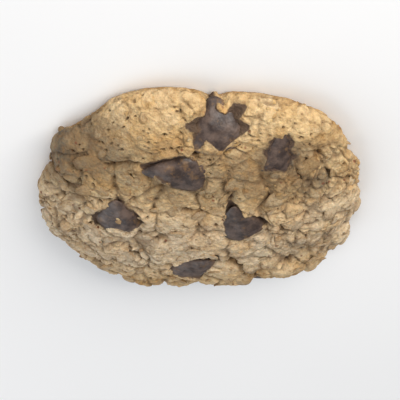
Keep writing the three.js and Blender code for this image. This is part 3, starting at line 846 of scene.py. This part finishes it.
def dough_material():
    s = Shades("baked_dough")
    # Golden and pale patches, paler over the buried oats.
    colour = s.mix(s.spread(s.noise(0.009, 4, 0.6), 0.4, 0.6), DOUGH_GOLD, DOUGH_PALE)
    over_oats = s.times(s.attribute("oat"), s.spread(s.noise(0.012), 0.35, 0.6, 0.3, 0.9))
    colour = s.mix(over_oats, colour, OAT_PALE)
    # Broad tints: painted shade in a band, an orange tinge, and painted glare.
    band_shade = s.times(s.attribute("shade_band"), s.spread(s.noise(0.006, 4, 0.6), 0.38, 0.62, 0.65, 1.0))
    colour = s.mix(band_shade, colour, DOUGH_SHADE_OLIVE)
    colour = s.mix(s.times(s.attribute("orange"), 0.6), colour, DOUGH_ORANGE)
    # Painted glare: paler and greyer dough towards -Y and -X.
    glare = s.times(s.attribute("glare"), s.spread(s.noise(0.008, 3), 0.35, 0.6, 0.3, 0.7))
    colour = s.mix(glare, colour, DOUGH_GLARE)
    # Browned grain, and the toasted foot of the rim.
    colour = s.mix(s.spread(s.noise(0.0016, 4, 0.7), 0.42, 0.7, 0.0, 0.65), colour, DOUGH_TOAST_AND_SHADE)
    colour = s.mix(s.attribute("toast"), colour, DOUGH_TOAST_AND_SHADE)
    # Specks of bran.
    specks = s.times(s.spread(s.cells(0.0024), 0.12, 0.2, 1, 0), s.spread(s.noise(0.005), 0.5, 0.6))
    colour = s.mix(specks, colour, BRAN)
    # Oats in the flat base, and painted shade of pits in it.
    flush_oats = s.times(s.spread(s.cells(0.0062), 0.28, 0.4, 0.8, 0), s.spread(s.noise(0.009), 0.47, 0.53))
    colour = s.mix(s.times(s.attribute("base"), flush_oats), colour, OAT_TAN)
    pit_shade = s.spread(s.noise(0.0024, 4, 0.7), 0.55, 0.68, 0.0, 0.7)
    colour = s.mix(s.times(s.attribute("base"), pit_shade), colour, DOUGH_DEEP_SHADE)
    # Painted shade in hollows and crevices, and stains of melted chocolate.
    colour = s.mix(s.attribute("hollow"), colour, DOUGH_TOAST_AND_SHADE)
    colour = s.mix(s.attribute("crevice"), colour, DOUGH_DEEP_SHADE)
    stain = s.plus(s.attribute("cocoa"), s.noise(0.0024, 4, 0.65))
    colour = s.mix(s.spread(stain, 1.04, 1.24, 0.0, 0.92), colour, COCOA)
    relief = s.plus(s.noise(0.0005, 3, 0.6), s.cells(0.0008))
    roughness = s.spread(s.noise(0.002), 0.3, 0.7, 0.72, 0.92)
    return s.finish(colour, roughness, relief, 0.0004, 0.8, Subsurface_Weight=0.12,
                    Subsurface_Radius=(1, 0.5, 0.25), Subsurface_Scale=0.0012)


def oat_material():
    s = Shades("rolled_oats")
    colour = s.mix(s.attribute("tone"), OAT_TAN, OAT_PALE)
    colour = s.mix(s.spread(s.noise(0.004, 2), 0.5, 0.6, 0.0, 0.6), colour, DOUGH_GOLD)
    # The same painted shade band and painted glare as the dough.
    colour = s.mix(s.times(s.attribute("shade_band"), 0.6), colour, DOUGH_SHADE_OLIVE)
    colour = s.mix(s.times(s.attribute("glare"), 0.5), colour, DOUGH_GLARE)
    # Browned grain and edges.
    colour = s.mix(s.spread(s.noise(0.0013, 4, 0.7), 0.45, 0.68, 0.0, 0.75), colour, DOUGH_TOAST_AND_SHADE)
    colour = s.mix(s.attribute("edge"), colour, DOUGH_TOAST_AND_SHADE)
    relief = s.plus(s.noise(0.0006, 4, 0.7), s.noise(0.0018, 3))
    roughness = s.spread(s.noise(0.002), 0.3, 0.7, 0.7, 0.9)
    return s.finish(colour, roughness, relief, 0.0008, 0.9, Subsurface_Weight=0.12,
                    Subsurface_Radius=(1, 0.6, 0.3), Subsurface_Scale=0.001)


def chocolate_material():
    s = Shades("chocolate")
    # A pale bloom with painted sheen, in patches, and smears and specks of dough.
    colour = s.mix(s.spread(s.noise(0.0036, 5, 0.65), 0.42, 0.68), CHOCOLATE_DARK, CHOCOLATE_BLOOM_AND_SHEEN)
    colour = s.mix(s.spread(s.noise(0.0042, 4, 0.7), 0.56, 0.68, 0.0, 0.5), colour, DOUGH_TOAST_AND_SHADE)
    colour = s.mix(s.spread(s.noise(0.0011, 3), 0.64, 0.72, 0.0, 0.3), colour, DOUGH_TOAST_AND_SHADE)
    roughness = s.spread(s.noise(0.0015, 3), 0.3, 0.7, 0.36, 0.64)
    relief = s.plus(s.noise(0.0012, 3), s.noise(0.004, 2))
    return s.finish(colour, roughness, relief, 0.0004, 0.5, Specular_IOR_Level=0.5)


def floor_material():
    s = Shades("pale_floor")
    colour = s.mix(s.noise(0.05), FLOOR_GREY, FLOOR_WHITE)
    return s.finish(colour, s.spread(s.noise(0.02), 0, 1, 0.85, 0.95))


# ---------- Pieces ----------


def curve(a, b, c, d, t):
    """Points at shares t of the way from b to c, on a curve that runs on smoothly to a and d."""
    bend = 2 * a - 5 * b + 4 * c - d
    twist = 3 * b - a - 3 * c + d
    return (2 * b + (c - a) * t + bend * t**2 + twist * t**3) / 2


def smooth_section():
    """The chip's section with steps between its named points, on a curve through them."""
    points = np.array(CHIP_SECTION, float)
    flip = np.array([-1, 1])
    points = np.vstack([points[1] * flip, points, points[-2] * flip])
    t = (np.arange(CHIP_STEPS) / CHIP_STEPS)[:, None]
    stretches = [curve(*four, t) for four in zip(points[:-3], points[1:-2], points[2:-1], points[3:])]
    section = np.vstack(stretches + [points[-2:-1]])
    section[0, 0] = section[-1, 0] = 0
    return section


def chip_shape(seat):
    """A chip as a bmesh, in millimetres about the plan's own middle: a teardrop on its side."""
    bm = bmesh.new()
    row = [bm.verts.new((along * seat.length, out * seat.width / 2, 0)) for out, along in smooth_section()]
    edges = [bm.edges.new(pair) for pair in zip(row[:-1], row[1:])]
    bmesh.ops.spin(bm, geom=row + edges, axis=(1, 0, 0), cent=(0, 0, 0), angle=2 * math.pi, steps=CHIP_TURNS,
                   use_merge=True)
    bmesh.ops.remove_doubles(bm, verts=bm.verts[:], dist=1e-4)
    bmesh.ops.recalc_face_normals(bm, faces=bm.faces[:])
    bmesh.ops.scale(bm, vec=(1, 1, CHIP_THICKNESS), verts=bm.verts[:])
    middle = seat.point - seat.sink * seat.normal
    turn = Matrix(seat.axes.T.tolist()).to_4x4() @ Matrix.Rotation(-seat.pitch, 4, "Y")
    place = Matrix.Translation(Vector(middle)) @ turn
    bmesh.ops.transform(bm, matrix=place, verts=bm.verts[:])
    return bm


def plan_shift():
    """From the plan's own middle to the frame's origin, by where the chips are in the frame."""
    shifts = []
    for seat in SEATS:
        bm = chip_shape(seat)
        here = np.array([v.co for v in bm.verts])
        bm.free()
        low, high = (np.array(corner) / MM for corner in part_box(seat.name))
        shifts.append((low + high) / 2 - (here.min(0) + here.max(0)) / 2)
    x, y, _ = np.mean(shifts, axis=0)
    return np.array([x, y, 0])


PLAN_SHIFT = plan_shift()
CRUST_CUTS = 127  # on each edge of the cube that the crust is blown up from


def painted_light_tints(point):
    """The painted shade band and painted glare of vertices, by the spots of the smooth cookie that they
    belong to.
    """
    return {"shade_band": shade_band_share(point), "glare": glare_share(point)}


def make_crust(material):
    """The dough: a cube's even grid, blown up to a ball and pressed to the cookie's shape and relief."""
    bm = bmesh.new()
    bmesh.ops.create_cube(bm, size=2)
    bmesh.ops.subdivide_edges(bm, edges=bm.edges[:], cuts=CRUST_CUTS, use_grid_fill=True)
    piece = new_piece("crust", bm, material)
    direction = unit(np.tan(places(piece.data) * math.pi / 4))
    share = (1 - direction[:, 2]) / 2
    point, normal = smooth_spots(share, np.arctan2(direction[:, 1], direction[:, 0]))
    finish = crust(point)
    fade = np.clip(point[:, 2] / RELIEF_FADE, 0, 1)
    on_base = normal[:, 2] < -0.9
    socket = on_base * (1 - smoothstep(finish["opening"], -BASE_SOCKET_SLOPE, 0))
    height = finish["height"] * np.maximum(fade, socket)
    surface = point + normal * height[:, None]
    surface[:, 2] = np.maximum(surface[:, 2], 0)
    set_places(piece.data, in_frame(surface))
    # Painted shade: darker where the crust dips below its blurred height, in broad hollows, and in pores and
    # cracks, kept faintly on the base.
    near = blurred(piece.data, height, CREVICE_ROUNDS)
    broad = blurred(piece.data, near, HOLLOW_ROUNDS)
    dip = np.clip((near - height) / CREVICE_DEPTH, 0, 1) ** CREVICE_POWER
    recess_shade = finish["recess_shade"] * lerp(BASE_PAINTED_SHADE, 1, fade)
    orange = orange_share(point) * (1 - ORANGE_LOSS * finish["oat"]) * (1 - ORANGE_LOSS * shade_band_share(point))
    set_attributes(
        piece.data,
        crevice=np.clip(np.maximum(dip, recess_shade), 0, 1),
        hollow=HOLLOW_SHARE * smoothstep(broad - near, *HOLLOW_DEPTHS),
        orange=orange,
        oat=finish["oat"],
        cocoa=finish["cocoa"],
        toast=TOAST_SHARE * (1 - smoothstep(point[:, 2], 0, TOAST_HEIGHT)),
        base=1 - smoothstep(point[:, 2], 0, BASE_HEIGHT),
        **painted_light_tints(point),
    )
    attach(piece, "root")
    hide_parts("cookie")


def small_pieces_fit(point, family, share_on_chips):
    """Which of these spots a crumb or a small flake can lie on."""
    sparse = draw_each(len(point), family, "crumb_size") > CALM_CRUMBS
    calm = sparse & (point[:, 1] > CALM_CRUMBS_FROM)
    on_chips = draw_each(len(point), family, "crumb_shape") < share_on_chips
    beside_chips = opening_of_chips(point) >= SMALL_PIECES_CLEARANCE
    return (point[:, 2] >= SMALL_PIECES_LOWEST) & (beside_chips | on_chips) & ~calm


def flake_spots():
    """Spots and normals for the flakes, and how many are whole oats. The rest are small broken ones."""
    point, normal = spiral_spots(FLAKES, FLAKE_COVER, FLAKE_TURN)
    free = (point[:, 2] >= FLAKE_LOWEST) & (point[:, 1] <= FLAKE_MOST_Y)
    free &= (clear_of_chips(point) >= FLAKE_CLEARANCE) & (crack_depth(point) == 0)
    more_point, more_normal = spiral_spots(SMALL_FLAKES, FLAKE_COVER, SMALL_FLAKE_TURN)
    more_free = small_pieces_fit(more_point, SMALL_FLAKE_FIT, 0)
    point = np.vstack([point[free], more_point[more_free]])
    normal = np.vstack([normal[free], more_normal[more_free]])
    return point, normal, free.sum()


def flake_shapes(p, owner):
    """Balls pressed into flakes with an uneven outline and a fold along the top, still 2 across."""
    outline_spots = np.column_stack([p[:, :2] * FLAKE_FRAY_FINENESS, owner * APART[3]])
    edge = 1 + FLAKE_FRAY * noise(outline_spots, 1, DRAWS["flake_edge"])
    fold = np.exp(-((p[:, 1] / FLAKE_FOLD_WIDTH) ** 2)) * np.clip(1 - p[:, 0] ** 2, 0, 1)
    p[:, 2] -= FLAKE_FOLD * fold * (p[:, 2] > 0)
    return p * np.column_stack([edge, edge, np.ones(len(p))])


def make_flakes(material):
    """Rolled oats on the crust: whole ones, and smaller broken ones between them."""
    point, normal, large = flake_spots()
    small = len(point) - large

    def draws(kind):
        return np.concatenate([draw_each(large, FLAKE, kind), draw_each(small, SMALL_FLAKE, kind)])

    def each(of_large, of_small):
        return np.concatenate([np.broadcast_to(of_large, large), np.broadcast_to(of_small, small)])

    shortest = each(FLAKE_LENGTH[0], SMALL_FLAKE_LENGTH[0])
    longest = each(FLAKE_LENGTH[1], SMALL_FLAKE_LENGTH[1])
    long = lerp(shortest, longest, draws("flake_length"))
    thick = each(FLAKE_THICKNESS, SMALL_FLAKE_THICKNESS)
    bow = FLAKE_BOW * (2 * draws("flake_tone") - 1)
    middle = spots_on_crust(point, normal, each(FLAKE_LIFT, SMALL_FLAKE_LIFT))
    axes = surface_frames(normal, 2 * math.pi * draws("flake_turn"))
    piece, owner = many_balls("oat_flakes", large + small, 12, 5, material)
    p = places(piece.data)
    rim = smoothstep(np.hypot(p[:, 0], p[:, 1]), FLAKE_BROWN_FROM, 1)
    p = flake_shapes(p, owner)
    lift = bow[owner] * (p[:, 1] ** 2 - FLAKE_BOW_LEVEL)
    p = p * np.column_stack([long / 2, long * FLAKE_SLIMNESS / 2, thick / 2])[owner]
    p[:, 2] += lift * long[owner] / 2
    p = turned(p, 0, FLAKE_ROLL * (2 * draws("flake_roll") - 1)[owner])
    p = turned(p, 1, FLAKE_PITCH * (2 * draws("flake_pitch") - 1)[owner])
    p = middle[owner] + (p[:, :, None] * axes[owner]).sum(1)
    set_places(piece.data, in_frame(p))
    tone = draws("flake_tone")[owner]
    set_attributes(piece.data, tone=tone, edge=FLAKE_BROWNED * rim, **painted_light_tints(point[owner]))
    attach(piece, "root")
    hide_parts("cookie")


def make_crumbs(material):
    share = CRUMB_COVER * draw_each(CRUMBS, CRUMB_SPOT, "crumb_shape")
    angle = 2 * math.pi * draw_each(CRUMBS, CRUMB_SPOT, "crumb_turn")
    point, normal = smooth_spots(share, angle)
    free = small_pieces_fit(point, CRUMB_FIT, CRUMBS_ON_CHIPS)
    point, normal = point[free], normal[free]
    count = len(point)
    size = lerp(*CRUMB_SIZE, draw_each(count, CRUMB, "crumb_size") ** CRUMB_RARITY)
    slim = lerp(*CRUMB_SLIMNESS, draw_each(count, CRUMB_SHAPE, "crumb_shape"))
    tone = draw_each(count, CRUMB, "crumb_tone")
    axes = surface_frames(normal, 2 * math.pi * draw_each(count, CRUMB, "crumb_turn"))
    middle = spots_on_crust(point, normal, -CRUMB_SINK * size * CRUMB_FLATNESS)
    piece, owner = many_balls("dough_crumbs", count, 8, 5, material)
    p = places(piece.data)
    uneven = noise(p * CRUMB_FINENESS + owner[:, None] * APART[:3], 1, DRAWS["crumb_shape"])
    p = p * (1 + CRUMB_UNEVENNESS * uneven)[:, None]
    p = p * np.column_stack([size / 2, size * slim / 2, size * CRUMB_FLATNESS / 2])[owner]
    p = middle[owner] + (p[:, :, None] * axes[owner]).sum(1)
    set_places(piece.data, in_frame(p))
    set_attributes(piece.data, toast=CRUMB_TOAST * tone[owner] ** 2, **painted_light_tints(point[owner]))
    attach(piece, "root")
    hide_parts("cookie")


def make_chip(seat, material):
    bm = chip_shape(seat)
    piece = new_piece(seat.name.replace("chip", "chocolate"), bm, material)
    p = places(piece.data)
    from_middle = unit(p - (seat.point - seat.sink * seat.normal))
    p = p + from_middle * chip_unevenness(p)[:, None]
    p = p - seat.normal * seat.droop(seat.local(p)[:, :1])
    p[:, 2] = np.maximum(p[:, 2], CHIP_BASE_RECESS)
    set_places(piece.data, in_frame(p))
    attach(piece, "root")
    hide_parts(seat.name)


# ---------- Floor, camera and light ----------

CAMERA_RISE = math.radians(35)  # above the plane of the cookie's base
CAMERA_LENS = 200
CAMERA_AWAY = 0.53
CAMERA_AIM = Vector((0, 0, 0.0062))
# Area lights that face the cookie: place, width, height, power and colour.
LIGHTS = {
    "key": ((0.27, 0.54, 0.25), 0.7, 0.35, 5.55, (1, 0.97, 0.93)),
    "fill": ((-0.42, -0.3, 0.36), 0.8, 0.8, 2.6, (0.95, 0.97, 1)),
}
SKY_COLOUR, SKY_STRENGTH = (0.95, 0.97, 1, 1), 0.36
FLOOR_SIZE = 2


def make_floor():
    bm = bmesh.new()
    bmesh.ops.create_grid(bm, x_segments=1, y_segments=1, size=FLOOR_SIZE)
    floor = new_piece("floor", bm, floor_material())


def make_camera():
    """The cookie is seen from its +Y side, with that side uppermost in the picture."""
    camera = bpy.data.objects.new("camera", bpy.data.cameras.new("camera"))
    bpy.context.scene.collection.objects.link(camera)
    back = Vector((0, math.cos(CAMERA_RISE), math.sin(CAMERA_RISE)))
    up = Vector((0, math.sin(CAMERA_RISE), -math.cos(CAMERA_RISE)))
    camera.data.lens = CAMERA_LENS
    camera.location = CAMERA_AIM + back * CAMERA_AWAY
    camera.rotation_mode = "QUATERNION"
    camera.rotation_quaternion = Matrix((up.cross(back), up, back)).transposed().to_quaternion()
    bpy.context.scene.camera = camera


def make_light(name, place, width, height, power, colour):
    light = bpy.data.lights.new(name, "AREA")
    light.shape = "RECTANGLE"
    light.size = width
    light.size_y = height
    light.energy = power
    light.color = colour
    lamp = bpy.data.objects.new(name, light)
    bpy.context.scene.collection.objects.link(lamp)
    lamp.location = place
    lamp.rotation_mode = "QUATERNION"
    lamp.rotation_quaternion = (CAMERA_AIM - Vector(place)).to_track_quat("-Z", "Y")


def make_sky():
    world = bpy.data.worlds.new("studio")
    world.use_nodes = True
    background = world.node_tree.nodes["Background"]
    background.inputs["Color"].default_value = SKY_COLOUR
    background.inputs["Strength"].default_value = SKY_STRENGTH
    bpy.context.scene.world = world


dough = dough_material()
chocolate = chocolate_material()
make_crust(dough)
make_flakes(oat_material())
make_crumbs(dough)
for seat in SEATS:
    make_chip(seat, chocolate)
make_floor()
make_camera()
for name, settings in LIGHTS.items():
    make_light(name, *settings)
make_sky()
bpy.context.scene.view_settings.view_transform = "Standard"
